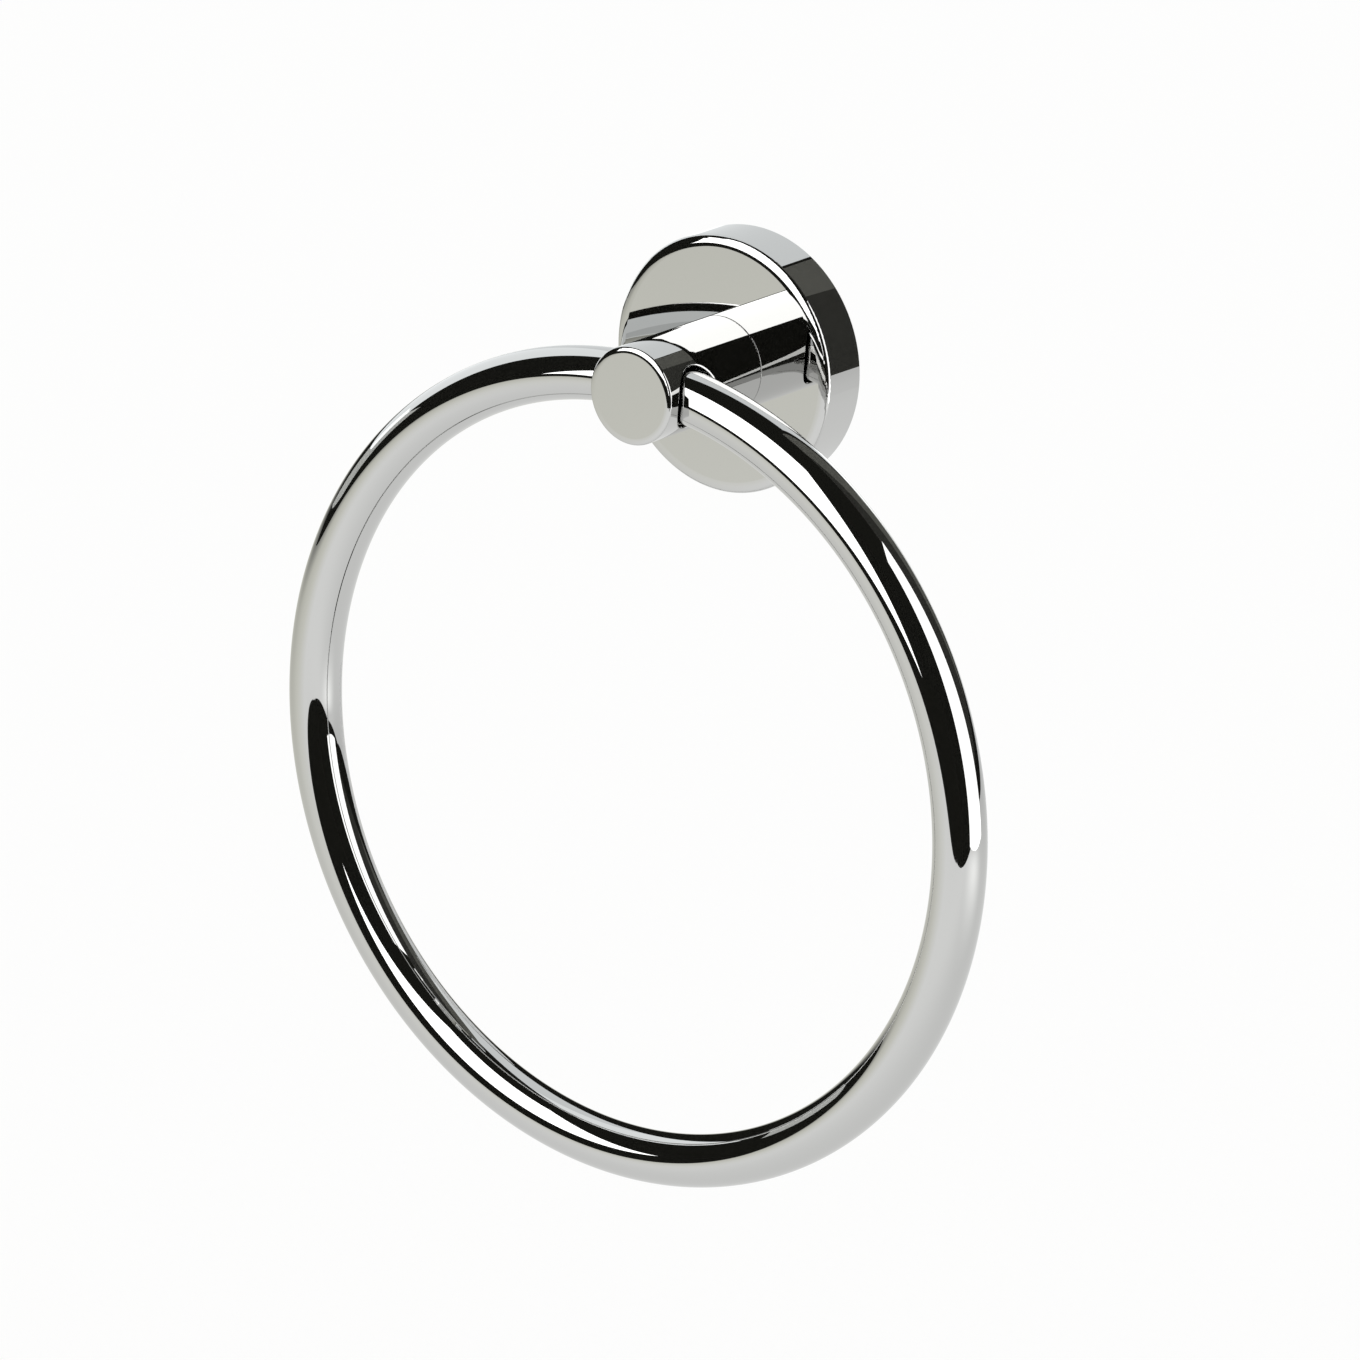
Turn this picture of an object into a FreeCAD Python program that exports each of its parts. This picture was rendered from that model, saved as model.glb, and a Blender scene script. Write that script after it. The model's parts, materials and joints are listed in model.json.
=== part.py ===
import FreeCAD, Part
import Sketcher
import math
import os
import re

# A wall towel ring: a hollow round flange, a straight post screwed to it from inside,
# and a closed ring that swings in a bore across the post. Inside the flange are a pressed
# bracket for the wall and a set screw that locks the flange to it.
#
# Assembly frame, in millimetres: the origin is the centre of the flange's back, on the wall.
# +Z is up, the wall lies behind at y = 0 and the post points to -Y, at the viewer.
#
# The pieces on the post's axis are drawn upright: their own +Z is the way out of the wall,
# and one quarter turn about X lays it along -Y, with their own +Y up.

DIMENSIONS = {
    # ring, a bent bar
    "ring_outer_diameter": 160.0,
    "ring_bar_diameter": 10.0,
    # front edges of post and flange: a shallow bevel, with the rest as shares of its width
    "bevel_slope": 0.25,
    "bevel_blend": 4.2,
    "bevel_corner": 0.5,
    # post
    "post_diameter": 18.4,
    "post_length": 27.3,
    "post_bevel_width": 0.85,
    "post_foot_radius": 0.2,
    "bore_setback": 8.2,
    "bore_clearance": 0.32,
    "bore_rim_radius": 0.35,
    # spigot that keys the post into the flange
    "spigot_diameter": 12.0,
    "spigot_width": 10.0,
    "spigot_clearance": 0.1,
    "spigot_recess": 0.3,
    # flange, a turned cup
    "flange_diameter": 48.5,
    "flange_depth": 10.2,
    "flange_front_thickness": 3.0,
    "flange_side_thickness": 3.0,
    "flange_bevel_width": 1.4,
    "flange_back_chamfer": 0.4,
    # screw and washer that hold the post
    "post_screw_diameter": 6.0,
    "post_screw_length": 12.0,
    "post_screw_head_diameter": 10.5,
    "post_screw_head_height": 3.0,
    "post_screw_head_rounding": 1.4,
    "post_screw_hexagon": 4.0,
    "post_screw_hexagon_depth": 1.8,
    "post_hole_extra_depth": 1.5,
    "thread_clearance": 0.05,
    "washer_diameter": 12.0,
    "washer_thickness": 1.6,
    "washer_hole_diameter": 6.4,
    # wall bracket, a pressed plate
    "bracket_thickness": 2.0,
    "bracket_rim_clearance": 1.75,
    "bracket_hole_clearance": 0.5,
    "ear_width": 14.0,
    "ear_side_clearance": 0.2,
    "ear_end_clearance": 0.6,
    "ear_bend_radius": 1.0,
    "ear_relief_width": 1.5,
    "slot_width": 5.0,
    "slot_length": 7.5,
    # set screw in the underside of the flange
    "lock_screw_diameter": 5.0,
    "lock_screw_front_clearance": 0.1,
    "lock_screw_recess": 0.4,
    "lock_screw_point_length": 1.0,
    "lock_screw_hexagon": 2.5,
    "lock_screw_hexagon_depth": 2.0,
}

# Edges are found by their place to within this distance, and a cut takes away at least this volume
SAME_PLACE = 1e-3
SMALLEST_CUT = 0.01

doc = FreeCAD.newDocument("towel_ring")
sheet = doc.addObject("Spreadsheet::Sheet", "sizes")
for row, (alias, value) in enumerate(DIMENSIONS.items(), start=1):
    sheet.set(f"A{row}", alias.replace("_", " "))
    sheet.set(f"B{row}", str(value))
    sheet.setAlias(f"B{row}", alias)
doc.recompute()


def size(expression):
    """The expression with every named size read from the sheet; each name has an underscore."""
    return re.sub(r"[a-z]+(_[a-z]+)+", lambda name: f"sizes.{name[0]}", expression)


def value_of(expression):
    """The number that an expression of named sizes comes to."""
    return float(sheet.evalExpression(size(expression)))


# Sizes that follow from the driving ones
RING_BAR_RADIUS = "ring_bar_diameter / 2"
RING_MID_RADIUS = "(ring_outer_diameter - ring_bar_diameter) / 2"
# how far the bent bar rises between the mouths of the bore and its middle
BAR_RISE = f"({RING_MID_RADIUS} - sqrt(({RING_MID_RADIUS})^2 - (post_diameter / 2)^2))"
BORE_RADIUS = f"({RING_BAR_RADIUS} + {BAR_RISE} / 2 + bore_clearance)"
BORE_HEIGHT = "(post_length - bore_setback)"
CAVITY_RADIUS = "(flange_diameter / 2 - flange_side_thickness)"
CAVITY_DEPTH = "(flange_depth - flange_front_thickness)"
SPIGOT_LENGTH = "(flange_front_thickness - spigot_recess)"
SPIGOT_HOLE_RADIUS = "(spigot_diameter / 2 + spigot_clearance)"
# the post screw's seat on its washer, measured outwards from the flange's front face
SCREW_SEAT = "(-flange_front_thickness - washer_thickness)"
BRACKET_RADIUS = f"({CAVITY_RADIUS} - bracket_rim_clearance)"
# the post's washer passes through the middle of the bracket
BRACKET_HOLE_RADIUS = "(washer_diameter / 2 + bracket_hole_clearance)"
# the slots lie midway between that hole and the bracket's rim
SLOT_REACH = f"(({BRACKET_RADIUS} + {BRACKET_HOLE_RADIUS}) / 2)"
# the ear's corners stay clear of the cavity wall
EAR_REACH = f"(sqrt(({CAVITY_RADIUS})^2 - (ear_width / 2)^2) - ear_side_clearance)"
EAR_HEIGHT = f"({CAVITY_DEPTH} - ear_end_clearance)"
LOCK_SCREW_LENGTH = f"(flange_diameter / 2 - lock_screw_recess - {EAR_REACH})"
LOCK_SCREW_HEIGHT = f"({CAVITY_DEPTH} - lock_screw_diameter / 2 - lock_screw_front_clearance)"


def plane(body, role):
    """The origin plane of a body with the given role."""
    return [item for item in body.Origin.OriginFeatures if item.Role == role][0]


def new_body(name):
    body = doc.addObject("PartDesign::Body", name)
    body.Label = name
    return body


def new_sketch(body, name, role, offset=None):
    """An empty sketch on one of the body's origin planes, raised by an expression if given."""
    sketch = body.newObject("Sketcher::SketchObject", name)
    sketch.AttachmentSupport = (plane(body, role), [""])
    sketch.MapMode = "FlatFace"
    if offset is not None:
        sketch.setExpression("AttachmentOffset.Base.z", size(offset))
    return sketch


def constrain(sketch, kind, *where, to):
    """A dimensional constraint that takes its value from an expression of named sizes."""
    index = sketch.addConstraint(Sketcher.Constraint(kind, *where, value_of(to)))
    sketch.setExpression(f"Constraints[{index}]", size(to))


def place_point(sketch, geometry, point, across, up):
    """Ties one point of a sketch to its two coordinates; a zero ties it to an axis."""
    if across == "0":
        sketch.addConstraint(Sketcher.Constraint("PointOnObject", geometry, point, -2))
    else:
        constrain(sketch, "DistanceX", -1, 1, geometry, point, to=across)
    if up == "0":
        sketch.addConstraint(Sketcher.Constraint("PointOnObject", geometry, point, -1))
    else:
        constrain(sketch, "DistanceY", -1, 1, geometry, point, to=up)


def add_outline(sketch, corners):
    """A closed outline of straight lines through corners given as pairs of expressions."""
    spots = [FreeCAD.Vector(value_of(across), value_of(up), 0) for across, up in corners]
    first = sketch.GeometryCount
    for start, end in zip(spots, spots[1:] + spots[:1]):
        sketch.addGeometry(Part.LineSegment(start, end), False)
    for step in range(len(spots)):
        following = first + (step + 1) % len(spots)
        sketch.addConstraint(Sketcher.Constraint("Coincident", first + step, 2, following, 1))
    for step, (across, up) in enumerate(corners):
        place_point(sketch, first + step, 1, across, up)


def add_circle(sketch, radius, across="0", up="0"):
    centre = FreeCAD.Vector(value_of(across), value_of(up), 0)
    circle = Part.Circle(centre, FreeCAD.Vector(0, 0, 1), value_of(radius))
    index = sketch.addGeometry(circle, False)
    place_point(sketch, index, 3, across, up)
    constrain(sketch, "Radius", index, to=radius)


def add_hexagon(sketch, across_flats):
    """A regular hexagon round the origin, with two of its corners on the upright axis."""
    corners = []
    for step in range(6):
        turn = 60 * step + 30
        reach = f"{across_flats} / (2 * cos(30 deg))"
        corners.append((f"{reach} * cos({turn} deg)", f"{reach} * sin({turn} deg)"))
    corners = [("0" if step in (1, 4) else across, up) for step, (across, up) in enumerate(corners)]
    add_outline(sketch, corners)


def add_flatted_circle(sketch, radius, width):
    """A circle round the origin with two flats, the given width apart."""
    half = value_of(f"({width}) / 2")
    rim = value_of(radius)
    rise = math.sqrt(rim ** 2 - half ** 2)
    lean = math.atan2(rise, half)
    circle = Part.Circle(FreeCAD.Vector(), FreeCAD.Vector(0, 0, 1), rim)
    corners = ((-half, rise), (-half, -rise), (half, -rise), (half, rise))
    spots = [FreeCAD.Vector(across, up, 0) for across, up in corners]
    sketch.addGeometry(Part.ArcOfCircle(circle, lean, math.pi - lean), False)
    sketch.addGeometry(Part.LineSegment(spots[0], spots[1]), False)
    sketch.addGeometry(Part.ArcOfCircle(circle, math.pi + lean, 2 * math.pi - lean), False)
    sketch.addGeometry(Part.LineSegment(spots[2], spots[3]), False)
    for arc in (0, 2):
        sketch.addConstraint(Sketcher.Constraint("Coincident", arc, 3, -1, 1))
    for edge, end, following, start in ((0, 2, 1, 1), (1, 2, 2, 1), (2, 2, 3, 1), (3, 2, 0, 1)):
        sketch.addConstraint(Sketcher.Constraint("Coincident", edge, end, following, start))
    for flat in (1, 3):
        sketch.addConstraint(Sketcher.Constraint("Vertical", flat))
    sketch.addConstraint(Sketcher.Constraint("Equal", 0, 2))
    constrain(sketch, "Radius", 0, to=radius)
    constrain(sketch, "DistanceX", 3, 1, to=f"({width}) / 2")
    constrain(sketch, "DistanceX", 1, 1, to=f"-({width}) / 2")


def add_level_slot(sketch, middle, width, length):
    """A slot with round ends along the level axis, centred at the given distance across."""
    spot = value_of(middle)
    end = value_of(f"({width}) / 2")
    reach = value_of(f"({length} - {width}) / 2")
    normal = FreeCAD.Vector(0, 0, 1)
    right = Part.Circle(FreeCAD.Vector(spot + reach, 0, 0), normal, end)
    left = Part.Circle(FreeCAD.Vector(spot - reach, 0, 0), normal, end)
    first = sketch.GeometryCount
    sketch.addGeometry(Part.ArcOfCircle(right, -math.pi / 2, math.pi / 2), False)
    top = (FreeCAD.Vector(spot + reach, end, 0), FreeCAD.Vector(spot - reach, end, 0))
    sketch.addGeometry(Part.LineSegment(*top), False)
    sketch.addGeometry(Part.ArcOfCircle(left, math.pi / 2, 3 * math.pi / 2), False)
    bottom = (FreeCAD.Vector(spot - reach, -end, 0), FreeCAD.Vector(spot + reach, -end, 0))
    sketch.addGeometry(Part.LineSegment(*bottom), False)
    for step in range(4):
        following = first + (step + 1) % 4
        sketch.addConstraint(Sketcher.Constraint("Tangent", first + step, 2, following, 1))
    sketch.addConstraint(Sketcher.Constraint("Horizontal", first + 1))
    place_point(sketch, first, 3, f"{middle} + ({length} - {width}) / 2", "0")
    constrain(sketch, "DistanceX", -1, 1, first + 2, 3, to=f"{middle} - ({length} - {width}) / 2")
    constrain(sketch, "Radius", first, to=f"({width}) / 2")


def volume_of(body):
    doc.recompute()
    return body.Shape.Volume if body.Shape.Solids else 0.0


def revolve(body, name, sketch):
    feature = body.newObject("PartDesign::Revolution", name)
    feature.Profile = sketch
    feature.ReferenceAxis = (sketch, ["V_Axis"])
    feature.Angle = 360
    doc.recompute()
    return feature


def pad(body, name, sketch, length, reverse=False, both_ways=False):
    feature = body.newObject("PartDesign::Pad", name)
    feature.Profile = sketch
    feature.setExpression("Length", size(length))
    feature.Reversed = reverse
    feature.Midplane = both_ways
    doc.recompute()
    return feature


def cut(body, kind, name, sketch, length=None, **settings):
    """A Pocket or Groove, checked to take material away; a length is an expression."""
    before = volume_of(body)
    feature = body.newObject(kind, name)
    feature.Profile = sketch
    for key, setting in settings.items():
        setattr(feature, key, setting)
    if length is not None:
        feature.setExpression("Length", size(length))
    if volume_of(body) > before - SMALLEST_CUT:
        raise RuntimeError(f"{name} in {body.Label} takes nothing away")
    return feature


def cut_through(body, name, sketch, both_ways=False):
    return cut(body, "PartDesign::Pocket", name, sketch, Type="ThroughAll", Midplane=both_ways, Reversed=True)


def cut_hexagon(body, name, sketch, depth):
    return cut(body, "PartDesign::Pocket", name, sketch, length=depth, Reversed=True)


def circle_edges(body, radius, height):
    """Names of the round edges of this radius whose circle lies at this height on the body's axis."""
    names = []
    for number, edge in enumerate(body.Tip.Shape.Edges, start=1):
        curve = edge.Curve
        if isinstance(curve, Part.Circle) and abs(curve.Radius - radius) < SAME_PLACE:
            low = abs(edge.BoundBox.ZMin - height) < SAME_PLACE
            high = abs(edge.BoundBox.ZMax - height) < SAME_PLACE
            if low and high:
                names.append(f"Edge{number}")
    return names


def round_edges(body, name, edges, radius):
    if not edges:
        raise RuntimeError(f"{name} in {body.Label} finds no edge")
    solid = body.Tip
    feature = body.newObject("PartDesign::Fillet", name)
    feature.Base = (solid, edges)
    feature.setExpression("Radius", size(radius))
    doc.recompute()
    return feature


def soften_bevel(body, radius, height, width):
    """Blends a bevel smoothly into the front face and rounds the corner it makes with the side."""
    inner = circle_edges(body, value_of(f"{radius} - {width}"), value_of(height))
    round_edges(body, "bevel_blend", inner, f"bevel_blend * {width}")
    outer = circle_edges(body, value_of(radius), value_of(f"{height} - bevel_slope * {width}"))
    round_edges(body, "bevel_corner", outer, f"bevel_corner * {width}")


def lay_out_of_wall(body, distance, height="0"):
    """Turns an upright piece to point out of the wall, at a distance from it and a height."""
    body.Placement.Rotation = FreeCAD.Rotation(FreeCAD.Vector(1, 0, 0), 90)
    body.setExpression("Placement.Base.y", size(f"-({distance})"))
    body.setExpression("Placement.Base.z", size(height))


# Flange: a turned cup, open to the wall, with a keyed hole for the post
def build_flange_cup():
    body = new_body("flange_cup")
    section = new_sketch(body, "cup_section", "XZ_Plane")
    add_outline(section, [
        ("0", CAVITY_DEPTH),
        (CAVITY_RADIUS, CAVITY_DEPTH),
        (CAVITY_RADIUS, "0"),
        ("flange_diameter / 2 - flange_back_chamfer", "0"),
        ("flange_diameter / 2", "flange_back_chamfer"),
        ("flange_diameter / 2", "flange_depth - bevel_slope * flange_bevel_width"),
        ("flange_diameter / 2 - flange_bevel_width", "flange_depth"),
        ("0", "flange_depth"),
    ])
    revolve(body, "cup", section)
    soften_bevel(body, "flange_diameter / 2", "flange_depth", "flange_bevel_width")

    key = new_sketch(body, "key_outline", "XY_Plane")
    add_flatted_circle(key, SPIGOT_HOLE_RADIUS, "spigot_width + 2 * spigot_clearance")
    cut_through(body, "key_hole", key)

    side = new_sketch(body, "lock_hole_outline", "XZ_Plane")
    add_circle(side, "lock_screw_diameter / 2 + thread_clearance", up=LOCK_SCREW_HEIGHT)
    cut_through(body, "lock_hole", side)
    lay_out_of_wall(body, "0")
    return body


# Post: a straight bar with a keyed spigot, a cross bore and a blind hole for its screw
def build_post():
    body = new_body("post")
    section = new_sketch(body, "bar_section", "XZ_Plane")
    add_outline(section, [
        ("0", "0"),
        ("post_diameter / 2", "0"),
        ("post_diameter / 2", "post_length - bevel_slope * post_bevel_width"),
        ("post_diameter / 2 - post_bevel_width", "post_length"),
        ("0", "post_length"),
    ])
    revolve(body, "bar", section)
    soften_bevel(body, "post_diameter / 2", "post_length", "post_bevel_width")

    key = new_sketch(body, "spigot_outline", "XY_Plane")
    add_flatted_circle(key, "spigot_diameter / 2", "spigot_width")
    pad(body, "spigot", key, SPIGOT_LENGTH, reverse=True)
    foot = circle_edges(body, value_of("post_diameter / 2"), 0)
    round_edges(body, "foot_edge", foot, "post_foot_radius")

    across = new_sketch(body, "bore_outline", "YZ_Plane")
    add_circle(across, BORE_RADIUS, up=BORE_HEIGHT)
    cut_through(body, "cross_bore", across, both_ways=True)
    round_edges(body, "bore_rims", bore_rim_edges(body), "bore_rim_radius")

    hole_radius = "(post_screw_diameter / 2 + thread_clearance)"
    hole_end = f"({SCREW_SEAT} + post_screw_length + post_hole_extra_depth)"
    drilled = new_sketch(body, "screw_hole_section", "XZ_Plane")
    add_outline(drilled, [
        ("0", f"-{SPIGOT_LENGTH}"),
        (hole_radius, f"-{SPIGOT_LENGTH}"),
        (hole_radius, hole_end),
        ("0", f"{hole_end} + {hole_radius} * tan(31 deg)"),
    ])
    cut(body, "PartDesign::Groove", "screw_hole", drilled, ReferenceAxis=(drilled, ["V_Axis"]), Angle=360)
    lay_out_of_wall(body, "flange_depth")
    return body


def bore_rim_edges(body):
    """Names of the two saddle-shaped edges where the cross bore leaves the post."""
    radius = value_of("post_diameter / 2")
    names = []
    for number, edge in enumerate(body.Tip.Shape.Edges, start=1):
        if not isinstance(edge.Curve, (Part.Circle, Part.Line)):
            middle = edge.valueAt((edge.FirstParameter + edge.LastParameter) / 2)
            on_post = abs(math.hypot(middle.x, middle.y) - radius) < SAME_PLACE
            if on_post and edge.BoundBox.ZLength > radius / 2:
                names.append(f"Edge{number}")
    return names


def build_post_screw():
    body = new_body("post_screw")
    section = new_sketch(body, "screw_section", "XZ_Plane")
    add_outline(section, [
        ("0", "-post_screw_head_height"),
        ("post_screw_head_diameter / 2", "-post_screw_head_height"),
        ("post_screw_head_diameter / 2", "0"),
        ("post_screw_diameter / 2", "0"),
        ("post_screw_diameter / 2", "post_screw_length"),
        ("0", "post_screw_length"),
    ])
    revolve(body, "screw", section)
    crown = circle_edges(body, value_of("post_screw_head_diameter / 2"), value_of("-post_screw_head_height"))
    round_edges(body, "head_crown", crown, "post_screw_head_rounding")
    hexagon = new_sketch(body, "hexagon_outline", "XY_Plane", offset="-post_screw_head_height")
    add_hexagon(hexagon, "post_screw_hexagon")
    cut_hexagon(body, "hexagon_socket", hexagon, "post_screw_hexagon_depth")
    lay_out_of_wall(body, f"flange_depth + {SCREW_SEAT}")
    return body


def build_post_washer():
    body = new_body("post_washer")
    section = new_sketch(body, "washer_outline", "XY_Plane")
    add_circle(section, "washer_diameter / 2")
    add_circle(section, "washer_hole_diameter / 2")
    pad(body, "washer", section, "washer_thickness")
    lay_out_of_wall(body, f"flange_depth + {SCREW_SEAT}")
    return body


# Wall bracket: a round plate with two ears bent up from notches, and two level slots
def build_wall_bracket():
    body = new_body("wall_bracket")
    disc = new_sketch(body, "plate_outline", "XY_Plane")
    add_circle(disc, BRACKET_RADIUS)
    add_circle(disc, BRACKET_HOLE_RADIUS)
    pad(body, "plate", disc, "bracket_thickness")

    slots = new_sketch(body, "slot_outlines", "XY_Plane")
    add_level_slot(slots, SLOT_REACH, "slot_width", "slot_length")
    add_level_slot(slots, f"-{SLOT_REACH}", "slot_width", "slot_length")
    cut_through(body, "wall_screw_slots", slots)

    notch_side = "ear_width / 2 + ear_relief_width"
    notch_depth = f"({EAR_REACH} - bracket_thickness - ear_bend_radius)"
    notches = new_sketch(body, "notch_outlines", "XY_Plane")
    for top in ("", "-"):
        add_outline(notches, [
            (f"-({notch_side})", f"{top}{notch_depth}"),
            (notch_side, f"{top}{notch_depth}"),
            (notch_side, f"{top}2 * {BRACKET_RADIUS}"),
            (f"-({notch_side})", f"{top}2 * {BRACKET_RADIUS}"),
        ])
    cut_through(body, "ear_notches", notches)

    ear = new_sketch(body, "ear_section", "YZ_Plane")
    root = f"({notch_depth} - ear_bend_radius)"
    add_outline(ear, [
        (root, "0"),
        (EAR_REACH, "0"),
        (EAR_REACH, EAR_HEIGHT),
        (f"{EAR_REACH} - bracket_thickness", EAR_HEIGHT),
        (f"{EAR_REACH} - bracket_thickness", "bracket_thickness"),
        (root, "bracket_thickness"),
    ])
    upper = pad(body, "upper_ear", ear, "ear_width", both_ways=True)
    outer = bend_edges(body, value_of(EAR_REACH), 0.0)
    round_edges(body, "outer_bend", outer, "ear_bend_radius + bracket_thickness")
    inner = bend_edges(body, value_of(f"{EAR_REACH} - bracket_thickness"), value_of("bracket_thickness"))
    round_edges(body, "inner_bend", inner, "ear_bend_radius")

    ears = body.newObject("PartDesign::PolarPattern", "both_ears")
    ears.Originals = [upper, doc.getObject("outer_bend"), doc.getObject("inner_bend")]
    ears.Axis = (disc, ["N_Axis"])
    ears.Angle = 360
    ears.Occurrences = 2
    body.Tip = ears
    doc.recompute()
    lay_out_of_wall(body, "0")
    return body


def bend_edges(body, across, height):
    """Names of the straight edges along X at this distance up the plate and this height."""
    names = []
    for number, edge in enumerate(body.Tip.Shape.Edges, start=1):
        box = edge.BoundBox
        along_x = box.YLength < SAME_PLACE and box.ZLength < SAME_PLACE and box.XLength > SAME_PLACE
        if along_x and abs(box.YMin - across) < SAME_PLACE and abs(box.ZMin - height) < SAME_PLACE:
            names.append(f"Edge{number}")
    return names


# Set screw, from the underside of the flange up to the bracket's lower ear
def build_lock_screw():
    body = new_body("lock_screw")
    section = new_sketch(body, "screw_section", "XZ_Plane")
    radius = "(lock_screw_diameter / 2)"
    add_outline(section, [
        ("0", "0"),
        (radius, "0"),
        (radius, f"{LOCK_SCREW_LENGTH} - lock_screw_point_length"),
        (f"{radius} - lock_screw_point_length", LOCK_SCREW_LENGTH),
        ("0", LOCK_SCREW_LENGTH),
    ])
    revolve(body, "screw", section)
    hexagon = new_sketch(body, "hexagon_outline", "XY_Plane")
    add_hexagon(hexagon, "lock_screw_hexagon")
    cut_hexagon(body, "hexagon_socket", hexagon, "lock_screw_hexagon_depth")
    body.setExpression("Placement.Base.y", size(f"-{LOCK_SCREW_HEIGHT}"))
    body.setExpression("Placement.Base.z", size("-(flange_diameter / 2 - lock_screw_recess)"))
    return body


# Ring: the bar's round section turned once round the ring's own axis
def build_ring():
    body = new_body("ring")
    section = new_sketch(body, "bar_section", "XZ_Plane")
    add_circle(section, RING_BAR_RADIUS, across=RING_MID_RADIUS)
    revolve(body, "ring_bar", section)
    lay_out_of_wall(body, f"flange_depth + {BORE_HEIGHT}", f"{BAR_RISE} / 2 - {RING_MID_RADIUS}")
    return body


pieces = [
    build_flange_cup(),
    build_post(),
    build_post_screw(),
    build_post_washer(),
    build_wall_bracket(),
    build_lock_screw(),
    build_ring(),
]
doc.recompute()

for item in doc.Objects:
    if "Invalid" in item.State or "Error" in item.State:
        raise RuntimeError(f"{item.Label} failed to build: {item.State}")
for piece in pieces:
    if piece.Shape.isNull() or not piece.Shape.isValid():
        raise RuntimeError(f"{piece.Label} has no valid shape")
    if len(piece.Shape.Solids) != 1:
        raise RuntimeError(f"{piece.Label} has {len(piece.Shape.Solids)} solids")

os.makedirs("parts", exist_ok=True)
for piece in pieces:
    piece.Shape.exportStep(os.path.join("parts", f"{piece.Label}.step"))
    box = piece.Shape.BoundBox
    spans = (("x", box.XMin, box.XMax), ("y", box.YMin, box.YMax), ("z", box.ZMin, box.ZMax))
    reach = ", ".join(f"{axis} {low:.2f} to {high:.2f}" for axis, low, high in spans)
    print(f"{piece.Label}: volume {piece.Shape.Volume:.1f}, {reach}")
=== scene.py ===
# %% [markdown]
# # A wall towel ring in polished chrome
#
# The real object is a cup-shaped flange, a straight post screwed to it from inside, and a closed
# ring that swings in a bore across the post. Every outer surface is polished and chrome plated, so
# it has almost no colour of its own: what we see is the studio around it. A chrome scene is
# therefore made in two halves of equal weight, the shapes with their exact curvature, and the
# lamps, table and dark walls that they mirror.
#
# The construction is already fixed elsewhere and packed. This first step loads it as a frame that
# never moves. Its lengths are metres, +Z is up and the wall lies at y = 0.

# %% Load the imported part
import json
import math

import bmesh
import bpy
from mathutils import Matrix, Vector

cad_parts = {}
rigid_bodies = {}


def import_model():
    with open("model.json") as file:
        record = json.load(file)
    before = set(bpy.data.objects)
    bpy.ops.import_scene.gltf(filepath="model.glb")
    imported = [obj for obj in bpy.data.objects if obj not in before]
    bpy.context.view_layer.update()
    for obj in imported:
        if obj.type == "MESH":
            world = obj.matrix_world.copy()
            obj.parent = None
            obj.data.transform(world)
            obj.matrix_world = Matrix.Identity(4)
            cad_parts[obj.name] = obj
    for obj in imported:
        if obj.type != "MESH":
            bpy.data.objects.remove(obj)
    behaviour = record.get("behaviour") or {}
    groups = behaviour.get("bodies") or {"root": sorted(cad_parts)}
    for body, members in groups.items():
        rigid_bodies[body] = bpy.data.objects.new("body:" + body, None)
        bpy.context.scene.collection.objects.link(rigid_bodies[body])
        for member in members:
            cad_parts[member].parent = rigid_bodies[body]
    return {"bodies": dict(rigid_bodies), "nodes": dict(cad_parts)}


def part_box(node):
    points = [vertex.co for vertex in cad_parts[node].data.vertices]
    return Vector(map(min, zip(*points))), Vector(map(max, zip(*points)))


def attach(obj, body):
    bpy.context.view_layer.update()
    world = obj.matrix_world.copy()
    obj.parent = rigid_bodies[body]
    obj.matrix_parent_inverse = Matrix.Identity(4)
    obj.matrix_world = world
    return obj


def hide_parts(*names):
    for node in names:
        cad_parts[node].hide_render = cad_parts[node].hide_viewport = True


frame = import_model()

frame_objects = set(frame["bodies"].values()) | set(frame["nodes"].values())
for leftover in set(bpy.context.scene.objects) - frame_objects:
    bpy.data.objects.remove(leftover)

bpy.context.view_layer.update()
print("pieces:", ", ".join(sorted(frame["nodes"])))

# %% [markdown]
# ## Sizes read from the frame
#
# A mirror shows the smallest error of a surface, so the finished pieces need the exact radii and
# centres of the real ones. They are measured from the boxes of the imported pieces, the ring's here
# and the screws' where the screws are made. Only what a box can't tell, such as the pitch of a
# thread, is written as a number.

# %% Measure the ring
MM_PER_METRE = 1000

ring_low, ring_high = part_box("ring")
BAR_RADIUS = (ring_high.y - ring_low.y) / 2
RING_RADIUS = (ring_high.x - ring_low.x) / 2 - BAR_RADIUS
RING_CENTRE = Vector((0.0, (ring_low.y + ring_high.y) / 2, (ring_low.z + ring_high.z) / 2))

print(f"ring: radius {RING_RADIUS * MM_PER_METRE:.2f} mm")
print(f"bar: radius {BAR_RADIUS * MM_PER_METRE:.2f} mm")

# %% [markdown]
# ## The camera
#
# The photograph was taken with a long lens from the front right and slightly above, with the
# camera tipped a little to one side. A long lens far away keeps the ring's near and far halves
# almost equally large. The angles come from fitting the outlines of ring, post and flange to the
# photograph. The camera is turned by giving it three axes directly, which avoids any doubt about
# the order of the turns.

# %% Place the camera
PHOTO_SIDE = 1360
SENSOR_WIDTH = 36.0
FOCAL_LENGTH_PIXELS = 8204.2
VIEW_AZIMUTH = math.radians(35.891)
VIEW_ELEVATION = math.radians(20.56)
VIEW_ROLL = math.radians(4.436)
VIEW_DISTANCE = 1.5
AIM = Vector((0.0103, -0.0296, -0.0539))

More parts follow.
